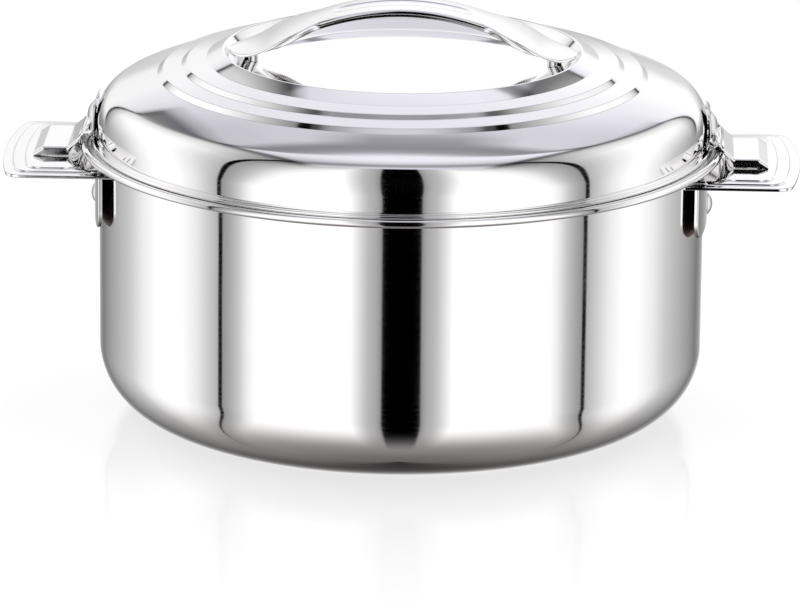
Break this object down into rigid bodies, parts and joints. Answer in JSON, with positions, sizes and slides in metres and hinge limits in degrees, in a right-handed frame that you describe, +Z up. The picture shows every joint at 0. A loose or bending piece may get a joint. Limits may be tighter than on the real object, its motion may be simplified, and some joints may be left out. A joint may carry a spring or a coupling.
{
  "type": "insulated serving pot",
  "caption": "Double-walled steel serving pot for flat breads, with a ringed lid, arched lid handle, stepped side handles and side clips.",
  "frame": {"origin": "centre of the base on the table plane", "axes": "+Z up along the pot's axis, +X along the line through both side handles, +Y to the back"},
  "size_m": [0.3158, 0.2556, 0.1647],
  "materials": {
    "polished_steel": "mirror-polished stainless sheet",
    "satin_steel": "satin stainless sheet",
    "foam": "rigid insulation foam"
  },
  "bodies": {
    "body": {"body_outer_shell": "polished_steel", "body_inner_bowl": "satin_steel", "body_foam": "foam", "handle_left": "polished_steel", "handle_right": "polished_steel", "handle_rivets": "polished_steel", "handle_rivet_washers": "satin_steel"},
    "lid": {"lid_outer_shell": "polished_steel", "lid_inner_shell": "satin_steel", "lid_foam": "foam", "lid_handle": "polished_steel", "lid_handle_studs": "polished_steel", "latch_bracket_left": "polished_steel", "latch_bracket_right": "polished_steel", "latch_rivets": "polished_steel", "latch_rivet_washers": "satin_steel", "latch_pin_left": "polished_steel", "latch_pin_right": "polished_steel"},
    "clip_left": {"latch_lever_left": "polished_steel"},
    "clip_right": {"latch_lever_right": "polished_steel"}
  },
  "joints": [
    {"name": "lid_lift", "type": "slide", "parent": "body", "child": "lid", "axis": [0, 0, 1], "range_m": [0, 0.16]},
    {"name": "clip_left_flip", "type": "hinge", "parent": "lid", "child": "clip_left", "pos_m": [-0.1251, 0, 0.11195], "axis": [0, 1, 0], "range_deg": [0, 80]},
    {"name": "clip_right_flip", "type": "hinge", "parent": "lid", "child": "clip_right", "pos_m": [0.1251, 0, 0.11195], "axis": [0, -1, 0], "range_deg": [0, 80]}
  ]
}
